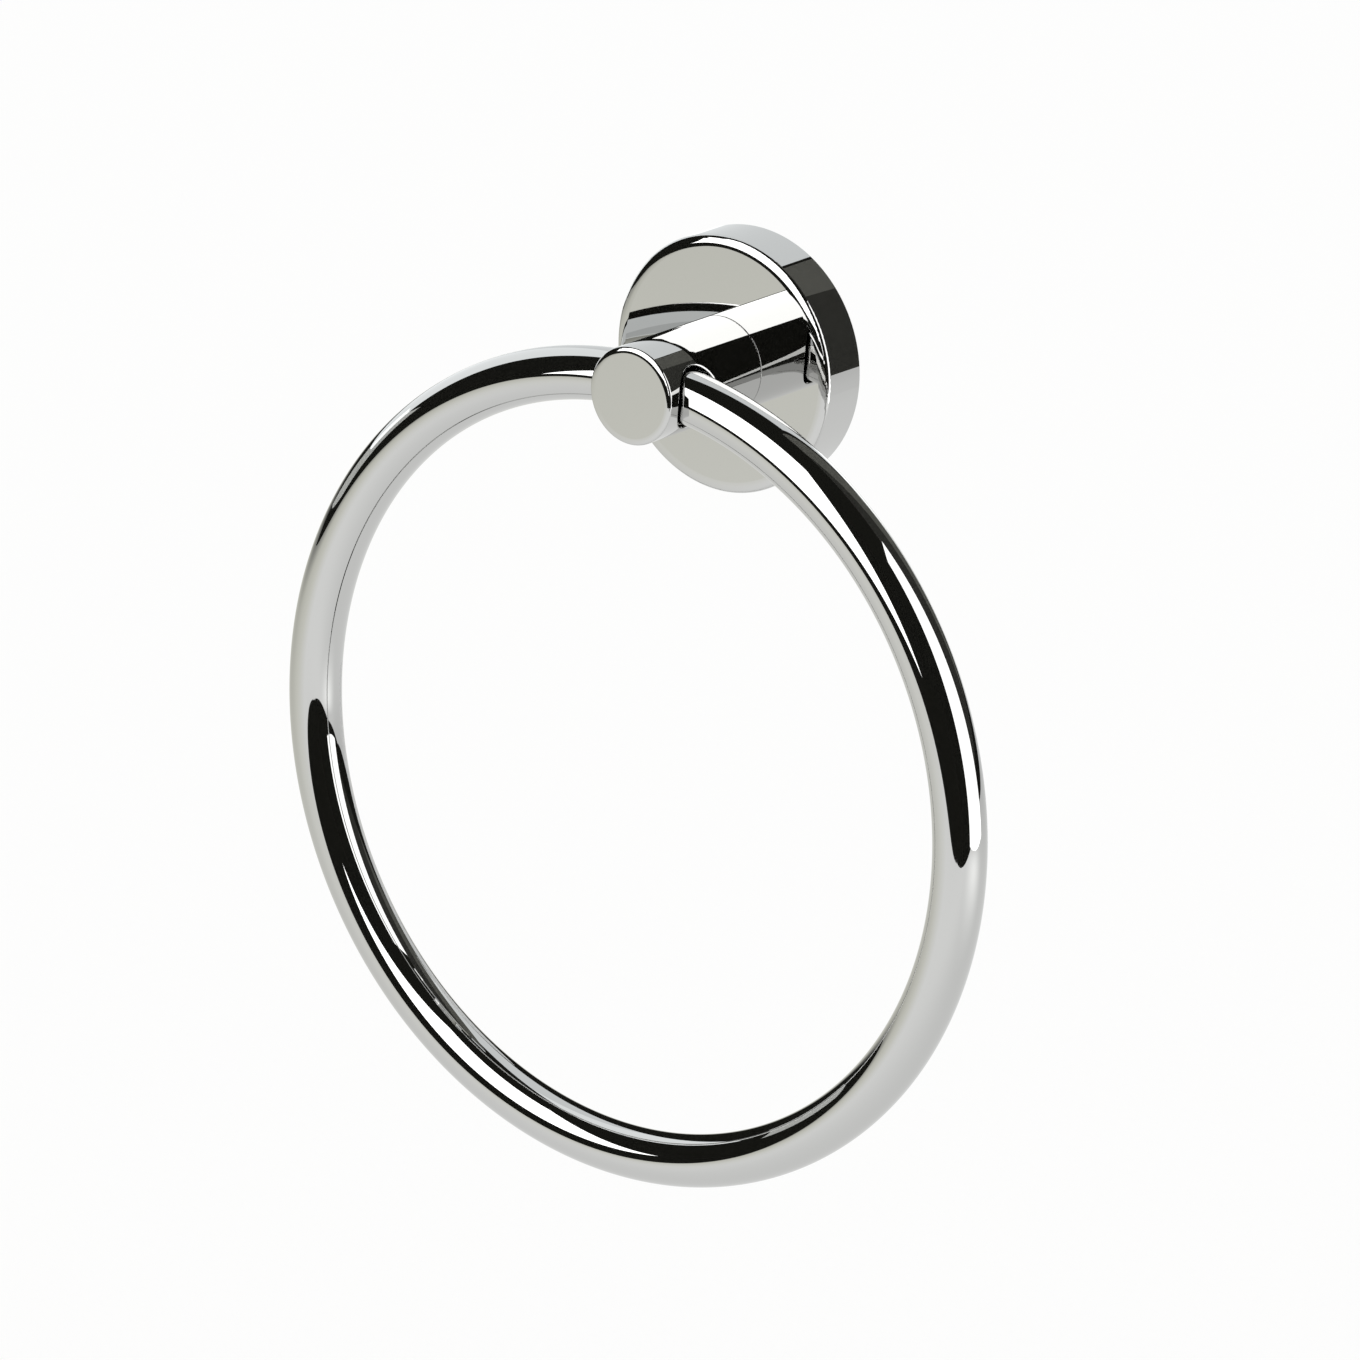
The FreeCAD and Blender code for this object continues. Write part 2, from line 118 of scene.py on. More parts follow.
towards_camera = Vector((
    math.sin(VIEW_AZIMUTH) * math.cos(VIEW_ELEVATION),
    -math.cos(VIEW_AZIMUTH) * math.cos(VIEW_ELEVATION),
    math.sin(VIEW_ELEVATION),
))
level_right = Vector((math.cos(VIEW_AZIMUTH), math.sin(VIEW_AZIMUTH), 0.0))
level_up = towards_camera.cross(level_right)
right = level_right * math.cos(VIEW_ROLL) + level_up * math.sin(VIEW_ROLL)
up = level_up * math.cos(VIEW_ROLL) - level_right * math.sin(VIEW_ROLL)

camera_data = bpy.data.cameras.new("camera")
camera_data.sensor_width = SENSOR_WIDTH
camera_data.lens = FOCAL_LENGTH_PIXELS / PHOTO_SIDE * SENSOR_WIDTH
camera = bpy.data.objects.new("camera", camera_data)
camera.matrix_world = (
    Matrix.Translation(AIM + towards_camera * VIEW_DISTANCE)
    @ Matrix((right, up, towards_camera)).transposed().to_4x4()
)
bpy.context.scene.collection.objects.link(camera)
bpy.context.scene.camera = camera
bpy.context.scene.view_settings.view_transform = "Standard"
print(f"lens {camera_data.lens:.1f} mm at {VIEW_DISTANCE} m")

# %% [markdown]
# ## Floor and white surroundings
#
# The photograph has a plain white background, the usual way to show a product. A nearly white
# floor far below the ring and a white world of strength 1 give the same picture and still keep the
# soft shadow of the object. The world alone lights all matt surfaces, so each colour renders as it
# is written. The floor is very large, so that no horizon shows from other sides. Mirrors don't see
# it, because what the chrome mirrors is built below.

# %% Lay the floor and light it evenly
FLOOR_HEIGHT = -0.35
FLOOR_HALF_WIDTH = 20.0
FLOOR_COLOUR = (0.985, 0.985, 0.982)
WHITE = (1.0, 1.0, 1.0)
WORLD_STRENGTH = 1.0


def new_object(name, mesh):
    """An object for a mesh, at the origin, linked to the scene."""
    piece = bpy.data.objects.new(name, mesh)
    bpy.context.scene.collection.objects.link(piece)
    return piece


def sheet_mesh(name, corners):
    """A mesh of one flat face through its corners."""
    mesh = bpy.data.meshes.new(name)
    mesh.from_pydata([tuple(corner) for corner in corners], [], [tuple(range(len(corners)))])
    return mesh


def new_material(name):
    """A new material and its shader."""
    material = bpy.data.materials.new(name)
    material.use_nodes = True
    return material, material.node_tree.nodes["Principled BSDF"]


def matt_material(name, colour):
    """A plain surface for the studio, with no shine."""
    material, shader = new_material(name)
    shader.inputs["Base Color"].default_value = (*colour, 1.0)
    shader.inputs["Roughness"].default_value = 1.0
    shader.inputs["Specular IOR Level"].default_value = 0.0
    return material


floor = new_object("floor", sheet_mesh("floor", [
    (-FLOOR_HALF_WIDTH, -FLOOR_HALF_WIDTH, FLOOR_HEIGHT),
    (FLOOR_HALF_WIDTH, -FLOOR_HALF_WIDTH, FLOOR_HEIGHT),
    (FLOOR_HALF_WIDTH, FLOOR_HALF_WIDTH, FLOOR_HEIGHT),
    (-FLOOR_HALF_WIDTH, FLOOR_HALF_WIDTH, FLOOR_HEIGHT),
]))
floor.data.materials.append(matt_material("pale floor", FLOOR_COLOUR))
floor.visible_glossy = False

world = bpy.data.worlds.new("white surroundings")
world.use_nodes = True
world.node_tree.nodes["Background"].inputs["Color"].default_value = (*WHITE, 1.0)
world.node_tree.nodes["Background"].inputs["Strength"].default_value = WORLD_STRENGTH
bpy.context.scene.world = world
print(f"floor {-FLOOR_HEIGHT * MM_PER_METRE:.0f} mm below the post")

# %% [markdown]
# ## The table that the chrome mirrors
#
# The underside of every tube mirrors the photographer's table as an even light grey, because
# chrome gives back only a little more than half of the light. The slanted front edge of the table
# is where that grey stops. Its left part has a warmer tone and is darker with painted shade, and
# fills the flat faces of the flange and the post. So the table is a sheet just above the floor that
# only mirrors see. It glows with painted light, the light that a real table would give back, which
# needs no lamp above it and leaves the floor alone. A colour ramp along X sets its warm tone and
# the painted shade that darkens it to the left. A real table is lit unevenly, brighter below each
# panel and darker towards the back, and that draws the soft stripes along each tube. A second ramp
# along Y and a round glow on the right paint this light.

# %% Helpers for materials and for what only mirrors see
def add_node(tree, kind, at, **settings):
    """A node of a tree at a place on its sheet, with settings by name."""
    node = tree.nodes.new(kind)
    node.location = at
    for name, value in settings.items():
        setattr(node, name, value)
    return node


def map_range(tree, at, start, end, first=0.0, last=1.0, **settings):
    """A node that turns the values from start to end into those from first to last."""
    node = add_node(tree, "ShaderNodeMapRange", at, **settings)
    for name, value in zip(("From Min", "From Max", "To Min", "To Max"), (start, end, first, last)):
        node.inputs[name].default_value = value
    return node


def ramp_along(tree, at, start, end, stops):
    """A colour ramp over a coordinate from start to end, with colours by their share of the way."""
    share = map_range(tree, at, start, end)
    shade = add_node(tree, "ShaderNodeValToRGB", (at[0] + 200, at[1]))
    ramp = shade.color_ramp.elements
    while len(ramp) < len(stops):
        ramp.new(1.0)
    for stop, (position, colour) in zip(ramp, stops.items()):
        stop.position = position
        stop.color = (*colour, 1.0)
    tree.links.new(share.outputs["Result"], shade.inputs["Fac"])
    return share.inputs["Value"], shade


def only_for_mirrors(piece):
    """Lets mirrors see a piece, but neither the camera nor the soft light."""
    piece.visible_camera = False
    piece.visible_diffuse = False
    piece.visible_shadow = False
    piece.visible_transmission = False


# %% Lay the mirrored table
# The table's tone and painted shade are given by their share of the way from right to left, the
# painted light by its place in y.
TABLE_OUTLINE = [
    (-1.40, -1.34), (0.48, -0.84), (1.84, 0.00), (2.55, 2.20),
    (-2.20, 2.20), (-2.20, 0.40), (-1.50, 0.00),
]
TABLE_LIFT = 0.001
SHADES_RIGHT = -0.2
SHADES_LEFT = -2.2
# Warm tone of the table, darkened towards the left by painted shade.
TABLE_TONE_AND_SHADE = {
    0.0: (0.975, 0.98, 0.975),
    0.2: (0.83, 0.83, 0.765),
    0.4: (0.72, 0.72, 0.65),
    0.6: (0.40, 0.40, 0.37),
    0.8: (0.16, 0.16, 0.15),
}
TABLE_LIGHT = {
    -0.95: 1.00, -0.50: 1.07, -0.15: 0.90, 0.15: 0.86, 0.60: 0.90, 1.00: 0.80, 1.80: 0.74,
}
GLOW_PLACE = (1.00, 0.08)
GLOW_REACH = 0.65
GLOW_LIGHT = 0.50
BLACK = (0.0, 0.0, 0.0)


def table_material(name):
    """A surface that gives off the table's tone and painted shade times the painted light on it."""
    material = matt_material(name, BLACK)
    tree = material.node_tree
    link = tree.links.new
    place = add_node(tree, "ShaderNodeTexCoord", (-1100, 0))
    parts = add_node(tree, "ShaderNodeSeparateXYZ", (-900, 0))
    link(place.outputs["Object"], parts.inputs["Vector"])

    leftward, shade = ramp_along(tree, (-700, 200), SHADES_RIGHT, SHADES_LEFT, TABLE_TONE_AND_SHADE)
    link(parts.outputs["X"], leftward)

    front, back, peak = min(TABLE_LIGHT), max(TABLE_LIGHT), max(TABLE_LIGHT.values())
    backward, light = ramp_along(tree, (-700, -50), front, back, {
        (y - front) / (back - front): (level / peak,) * 3 for y, level in TABLE_LIGHT.items()
    })
    light.color_ramp.interpolation = "B_SPLINE"
    link(parts.outputs["Y"], backward)

    away = add_node(tree, "ShaderNodeVectorMath", (-700, -350), operation="DISTANCE")
    away.inputs[1].default_value = (*GLOW_PLACE, FLOOR_HEIGHT + TABLE_LIFT)
    glow = map_range(
        tree, (-500, -350), 0.0, GLOW_REACH, GLOW_LIGHT, 0.0, interpolation_type="SMOOTHSTEP",
    )
    both = add_node(tree, "ShaderNodeMath", (-200, -150), operation="MULTIPLY_ADD")
    both.inputs[1].default_value = peak
    lit = add_node(tree, "ShaderNodeVectorMath", (0, 0), operation="SCALE")
    link(place.outputs["Object"], away.inputs[0])
    link(away.outputs["Value"], glow.inputs["Value"])
    link(light.outputs["Color"], both.inputs[0])
    link(glow.outputs["Result"], both.inputs[2])
    link(shade.outputs["Color"], lit.inputs[0])
    link(both.outputs["Value"], lit.inputs["Scale"])

    # The sheet glows by its emission: painted light, not a lamp.
    shader = tree.nodes["Principled BSDF"]
    shader.inputs["Emission Strength"].default_value = 1.0
    link(lit.outputs["Vector"], shader.inputs["Emission Color"])
    return material


table = new_object("mirrored_table", sheet_mesh("mirrored_table", [
    (x, y, FLOOR_HEIGHT + TABLE_LIFT) for x, y in TABLE_OUTLINE
]))
table.data.materials.append(table_material("warm table top glowing with painted light"))
only_for_mirrors(table)
print(f"table: {len(TABLE_OUTLINE)} corners")

# %% [markdown]
# ## Soft panels
#
# Each white band on the chrome is the mirror image of a large soft panel. The bands in the
# photograph give the panels' places: a wide one in front on the left, one on the right, and a
# weaker, slightly blue pair behind on the left, like a window. An area lamp is the simplest soft
# panel. Its power is worked out from the brightness that its face should have, which is what a
# mirror shows. The camera doesn't see the lamps, and matt surfaces take no light from them, so
# that they can be as bright as the mirror images need without bleaching the floor.

# %% Set up the panels
# Each panel has a left foot, a right foot, the height of its top, a brightness and a colour.
WINDOW_COLOUR = (0.955, 0.985, 1.0)
PANELS = {
    "front left panel": (
        (-0.337, -0.402, -0.040), (0.088, -0.402, -0.040), 0.560, 2.7, WHITE,
    ),
    "right panel": (
        (0.321, -0.084, -0.115), (0.267, 0.145, -0.115), 0.350, 1.9, WHITE,
    ),
    "window, left half": (
        (-0.262, -0.050, -0.030), (-0.135, 0.063, -0.030), 0.330, 1.15, WINDOW_COLOUR,
    ),
    "window, right half": (
        (-0.135, 0.063, -0.030), (-0.006, 0.178, -0.030), 0.330, 0.90, WINDOW_COLOUR,
    ),
}


def add_panel(name, left_foot, right_foot, top, brightness, colour):
    """A flat rectangular lamp above the line between two feet, facing the ring."""
    left_foot, right_foot = Vector(left_foot), Vector(right_foot)
    width = (right_foot - left_foot).length
    height = top - left_foot.z
    middle = (left_foot + right_foot) / 2 + Vector((0.0, 0.0, height / 2))
    along = (right_foot - left_foot).normalized()
    upward = Vector((0.0, 0.0, 1.0))
    backward = along.cross(upward)
    if backward.dot(middle - RING_CENTRE) < 0:
        along, backward = -along, -backward
    lamp = bpy.data.lights.new(name, "AREA")
    lamp.shape = "RECTANGLE"
    lamp.size = width
    lamp.size_y = height
    lamp.color = colour
    lamp.energy = brightness * math.pi * width * height
    panel = bpy.data.objects.new(name, lamp)
    panel.matrix_world = (
        Matrix.Translation(middle) @ Matrix((along, upward, backward)).transposed().to_4x4()
    )
    panel.visible_camera = False
    panel.visible_diffuse = False
    bpy.context.scene.collection.objects.link(panel)
    print(f"{name}: {width * MM_PER_METRE:.0f} x {height * MM_PER_METRE:.0f} mm")


for name, panel_settings in PANELS.items():
    add_panel(name, *panel_settings)

# %% [markdown]
# ## Dark cloth for the black bands
#
# White alone would turn the chrome into pale plaster. The black bands that make it read as metal
# are the dark room beyond the table and the panels. Photographers hang black cloth for this. Here
# the cloth is a large dark box around the table. Two dark grey cards stand behind the object on
# the right, with a narrow gap beside the window that shows as a fine black line. A paler one
# stands far on the left and gives the outer side of the ring its grey stripe, and a low one behind
# the window lightens the inner edge of the ring's lower left part. Only mirrors see all this, so
# the background stays white.

# %% Hang the dark cloth and stand the grey cards
# Each card has a left foot, a right foot, the height of its top and a colour.
CLOTH_COLOUR = (0.013, 0.013, 0.011)
ROOM_LOW = (-2.4, -2.4, -1.4)
ROOM_HIGH = (2.6, 2.4, 2.2)
CARDS = {
    "grey_card": (
        (-0.004, 0.268, -0.047), (0.130, 0.285, -0.047), 1.104, (0.120, 0.120, 0.108),
    ),
    "darker_card": (
        (0.130, 0.285, -0.047), (0.671, 0.351, -0.047), 1.104, (0.040, 0.040, 0.036),
    ),
    "pale_card": (
        (-0.750, -0.250, -0.140), (-0.750, 0.070, -0.140), 0.060, (0.60, 0.61, 0.59),
    ),
    "low_card": (
        (-0.125, 0.300, -0.200), (-0.009, 0.300, -0.200), 0.060, (0.78, 0.79, 0.79),
    ),
}


def room_mesh(name, low, high):
    """A box seen from inside."""
    corners = [
        (x, y, z)
        for z in (low[2], high[2])
        for x, y in ((low[0], low[1]), (high[0], low[1]), (high[0], high[1]), (low[0], high[1]))
    ]
    faces = [(0, 3, 2, 1), (4, 5, 6, 7), (0, 4, 7, 3), (1, 2, 6, 5), (0, 1, 5, 4), (3, 7, 6, 2)]
    mesh = bpy.data.meshes.new(name)
    mesh.from_pydata(corners, [], faces)
    return mesh


def add_card(name, left_foot, right_foot, top, colour):
    """An upright card above the line between two feet, seen by mirrors alone."""
    card = new_object(name, sheet_mesh(name, [
        left_foot, right_foot, (*right_foot[:2], top), (*left_foot[:2], top),
    ]))
    card.data.materials.append(matt_material(name, colour))
    only_for_mirrors(card)


room = new_object("dark_cloth", room_mesh("dark_cloth", ROOM_LOW, ROOM_HIGH))
room.data.materials.append(matt_material("black cloth", CLOTH_COLOUR))
only_for_mirrors(room)
for name, card_settings in CARDS.items():
    add_card(name, *card_settings)
print(f"one cloth and {len(CARDS)} cards")

# %% [markdown]
# ## Polished chrome
#
# Chrome plating is a thin bright metal over polished brass. It is a mirror of a slightly warm grey
# that gives back a little more than half of the light, so it is a metallic shader with that base
# colour and almost no roughness. What tells it from a perfect mirror are traces of the work:
# polishing leaves very shallow waves a centimetre or two long, which bend the edges of
# reflections, and fine hairlines that only change the roughness. The polishing wheel doesn't reach
# into the hollow of the flange, so the plating stays satin there. Everything is procedural on
# object coordinates, so it stays with the piece from every side.

# %% Mix the chrome
CHROME_COLOUR = (0.60, 0.60, 0.592)
POLISH_WAVE_LENGTH = 0.018
POLISH_WAVE_DETAIL = 1.0
POLISH_WAVE_HEIGHT = 0.0000012
HAIRLINE_SCALE = 900.0
HAIRLINE_DETAIL = 4.0
HAIRLINE_SPAN = (0.3, 0.75)
POLISHED_ROUGHNESS = (0.012, 0.03)
SATIN_ROUGHNESS = 0.25
HOLLOW_RADIUS = 0.0213
HOLLOW_FRONT = -0.0073


def noise_texture(tree, place, at, scale, detail):
    """A noise on the object coordinates that a place node gives."""
    noise = add_node(tree, "ShaderNodeTexNoise", at)
    noise.inputs["Scale"].default_value = scale
    noise.inputs["Detail"].default_value = detail
    tree.links.new(place.outputs["Object"], noise.inputs["Vector"])
    return noise


def add_relief(tree, at, noise, strength, height, shader):
    """Bends a shader's normal by the slope of a noise."""
    relief = add_node(tree, "ShaderNodeBump", at)
    relief.inputs["Strength"].default_value = strength
    relief.inputs["Distance"].default_value = height
    tree.links.new(noise.outputs["Fac"], relief.inputs["Height"])
    tree.links.new(relief.outputs["Normal"], shader.inputs["Normal"])


def chrome_material(name):
    """Polished chrome outside, satin chrome in the hollow of the flange."""
    material, shader = new_material(name)
    tree = material.node_tree
    shader.inputs["Base Color"].default_value = (*CHROME_COLOUR, 1.0)
    shader.inputs["Metallic"].default_value = 1.0

    place = add_node(tree, "ShaderNodeTexCoord", (-900, 0))
    waves = noise_texture(
        tree, place, (-650, -200), 1.0 / POLISH_WAVE_LENGTH, POLISH_WAVE_DETAIL,
    )
    add_relief(tree, (-250, -200), waves, 1.0, POLISH_WAVE_HEIGHT, shader)
    hairlines = noise_texture(tree, place, (-650, 150), HAIRLINE_SCALE, HAIRLINE_DETAIL)
    softness = map_range(tree, (-400, 150), *HAIRLINE_SPAN, *POLISHED_ROUGHNESS)

    parts = add_node(tree, "ShaderNodeSeparateXYZ", (-650, 400))
    spoke = add_node(tree, "ShaderNodeCombineXYZ", (-450, 450))
    radius = add_node(tree, "ShaderNodeVectorMath", (-250, 450), operation="LENGTH")
    inside = add_node(tree, "ShaderNodeMath", (-50, 450), operation="LESS_THAN")
    inside.inputs[1].default_value = HOLLOW_RADIUS
    behind = add_node(tree, "ShaderNodeMath", (-50, 650), operation="GREATER_THAN")
    behind.inputs[1].default_value = HOLLOW_FRONT
    hollow = add_node(tree, "ShaderNodeMath", (150, 550), operation="MULTIPLY")
    plating = add_node(tree, "ShaderNodeMix", (350, 400), data_type="FLOAT")
    plating.inputs["B"].default_value = SATIN_ROUGHNESS

    link = tree.links.new
    link(place.outputs["Object"], parts.inputs["Vector"])
    link(parts.outputs["X"], spoke.inputs["X"])
    link(parts.outputs["Z"], spoke.inputs["Z"])
    link(spoke.outputs["Vector"], radius.inputs[0])
    link(radius.outputs["Value"], inside.inputs[0])
    link(parts.outputs["Y"], behind.inputs[0])
    link(inside.outputs["Value"], hollow.inputs[0])
    link(behind.outputs["Value"], hollow.inputs[1])
    link(hairlines.outputs["Fac"], softness.inputs["Value"])
    link(hollow.outputs["Value"], plating.inputs["Factor"])
    link(softness.outputs["Result"], plating.inputs["A"])
    link(plating.outputs["Result"], shader.inputs["Roughness"])
    return material


chrome = chrome_material("polished chrome")
for node_name in ("flange_cup", "post"):
    frame["nodes"][node_name].data.materials[0] = chrome
    print("chrome on:", node_name)

# %% [markdown]
# ## The ring
#
# The real ring is a straight bar that is bent round, welded at its ends, ground and polished until
# the joint can't be found. It follows the simplest of rules, a circle swept along a circle, so it
# is made with Geometry Nodes: the radii are inputs, and one node sweeps the bar's section along
# the bend. A mirror needs many more steps than a matt surface, because a reflection doubles every
# small change of direction.

# %% Helpers for node trees that make geometry
def geometry_tree(name, inputs):
    """An empty tree with named number, vector or material inputs and one geometry output."""
    tree = bpy.data.node_groups.new(name, "GeometryNodeTree")
    add_socket = tree.interface.new_socket
    add_socket("Geometry", in_out="INPUT", socket_type="NodeSocketGeometry")
    for socket_name, socket_type in inputs.items():
        add_socket(socket_name, in_out="INPUT", socket_type="NodeSocket" + socket_type)
    add_socket("Geometry", in_out="OUTPUT", socket_type="NodeSocketGeometry")
    return tree


def chain(tree, *nodes):
    """Hands the geometry of each node on to the next one."""
    for giver, taker in zip(nodes, nodes[1:]):
        tree.links.new(giver.outputs["Geometry"], taker.inputs["Geometry"])


def grown_mesh(name, start_mesh, tree, values):
    """The plain mesh that a tree makes from a start mesh and a value for each named input."""
    grower = bpy.data.objects.new(name, start_mesh)
    bpy.context.scene.collection.objects.link(grower)
    modifier = grower.modifiers.new("grow", "NODES")
    modifier.node_group = tree
    for item in tree.interface.items_tree:
        if item.in_out == "INPUT" and item.name in values:
            modifier[item.identifier] = values[item.name]
    bpy.context.view_layer.update()
    evaluated = grower.evaluated_get(bpy.context.evaluated_depsgraph_get())
    mesh = bpy.data.meshes.new_from_object(evaluated)
    mesh.name = name
    bpy.data.objects.remove(grower)
    print(f"{name}: {len(mesh.polygons)} faces")
    return mesh


# %% Sweep the bar along the bend
RING_STEPS_ROUND = 540
RING_STEPS_BAR = 72


def swept_ring_tree():
    """A tree that sweeps the bar's round section along the bend and stands the ring upright."""
    tree = geometry_tree("swept ring", {
        "Ring Radius": "Float",
        "Bar Radius": "Float",
        "Steps Round": "Int",
        "Steps Bar": "Int",
        "Centre": "Vector",
        "Finish": "Material",
    })
    given = add_node(tree, "NodeGroupInput", (-800, 0))
    bend = add_node(tree, "GeometryNodeCurvePrimitiveCircle", (-550, 150))
    section = add_node(tree, "GeometryNodeCurvePrimitiveCircle", (-550, -100))
    sweep = add_node(tree, "GeometryNodeCurveToMesh", (-300, 0))
    stand = add_node(tree, "GeometryNodeTransform", (-100, 0))
    stand.inputs["Rotation"].default_value = (math.pi / 2, 0.0, 0.0)
    smooth = add_node(tree, "GeometryNodeSetShadeSmooth", (100, 0))
    realize = add_node(tree, "GeometryNodeRealizeInstances", (300, 0))
    finish = add_node(tree, "GeometryNodeSetMaterial", (500, 0))
    made = add_node(tree, "NodeGroupOutput", (700, 0))

    link = tree.links.new
    link(given.outputs["Ring Radius"], bend.inputs["Radius"])
    link(given.outputs["Steps Round"], bend.inputs["Resolution"])
    link(given.outputs["Bar Radius"], section.inputs["Radius"])
    link(given.outputs["Steps Bar"], section.inputs["Resolution"])
    link(bend.outputs["Curve"], sweep.inputs["Curve"])
    link(section.outputs["Curve"], sweep.inputs["Profile Curve"])
    link(sweep.outputs["Mesh"], stand.inputs["Geometry"])
    link(given.outputs["Centre"], stand.inputs["Translation"])
    link(given.outputs["Finish"], finish.inputs["Material"])
    chain(tree, stand, smooth, realize, finish, made)
    return tree


ring_mesh = grown_mesh("polished_ring", bpy.data.meshes.new("start"), swept_ring_tree(), {
    "Ring Radius": RING_RADIUS,
    "Bar Radius": BAR_RADIUS,
    "Steps Round": RING_STEPS_ROUND,
    "Steps Bar": RING_STEPS_BAR,
    "Centre": RING_CENTRE,
    "Finish": chrome,
})
ring = new_object("polished_ring", ring_mesh)
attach(ring, "ring_body")
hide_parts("ring")

# %% [markdown]
# ## Zinc plated steel
#
# Bracket, washer and screws are hidden behind the flange, so they are plain steel with a thin coat
# of zinc. Fresh zinc has a bluish grey and a soft, slightly cloudy shine. The cloudiness is a slow
# noise that changes colour and roughness from place to place, and a finer one is the grain of the
# rolled sheet, as a very shallow relief.

# %% Mix the zinc plating
ZINC_DARK = (0.46, 0.49, 0.53)
ZINC_LIGHT = (0.62, 0.64, 0.67)
CLOUD_SCALE = 260.0
CLOUD_DETAIL = 3.0
CLOUD_SPAN = (0.3, 0.7)
ZINC_ROUGHNESS = (0.27, 0.44)
GRAIN_SCALE = 2600.0
GRAIN_DETAIL = 2.0
GRAIN_STRENGTH = 0.35
GRAIN_HEIGHT = 0.00002


def zinc_material(name):
    """Cloudy, slightly bluish zinc with the grain of rolled steel."""
    material, shader = new_material(name)
    tree = material.node_tree
    shader.inputs["Metallic"].default_value = 1.0

    place = add_node(tree, "ShaderNodeTexCoord", (-1000, 0))
    clouds = noise_texture(tree, place, (-750, 150), CLOUD_SCALE, CLOUD_DETAIL)
    grain = noise_texture(tree, place, (-750, -150), GRAIN_SCALE, GRAIN_DETAIL)
    add_relief(tree, (-450, -200), grain, GRAIN_STRENGTH, GRAIN_HEIGHT, shader)
    tint = add_node(tree, "ShaderNodeMix", (-450, 250), data_type="RGBA")
    tint.inputs["A"].default_value = (*ZINC_DARK, 1.0)
    tint.inputs["B"].default_value = (*ZINC_LIGHT, 1.0)
    softness = map_range(tree, (-450, 0), *CLOUD_SPAN, *ZINC_ROUGHNESS)

    link = tree.links.new
    link(clouds.outputs["Fac"], tint.inputs["Factor"])
    link(tint.outputs["Result"], shader.inputs["Base Color"])
    link(clouds.outputs["Fac"], softness.inputs["Value"])
    link(softness.outputs["Result"], shader.inputs["Roughness"])
    return material


zinc = zinc_material("bright zinc plating")
for node_name in ("wall_bracket", "post_washer"):
    frame["nodes"][node_name].data.materials[0] = zinc
    print("zinc on:", node_name)

# %% [markdown]
# ## The two screws
#
# A machine screw is turned, and its thread is a groove that climbs by one pitch per turn. So it is
# made in two steps. The plain turned ends are loops of points, like a lathe would leave them, with
# the hexagon socket sunk into one end. The threaded length between them repeats by a rule, so
# Geometry Nodes make it from a tube: each point is pulled inwards by a depth that depends on its
# height and on its angle round the axis.

# %% Grow a thread between two turned ends
# The crest and the root of the thread are measured from the middle of the crest, in pitches.
SCREW_SEGMENTS = 48
STEPS_PER_PITCH = 10
CREST_END = 0.07
ROOT_START = 0.40
WELD_DISTANCE = 0.00001


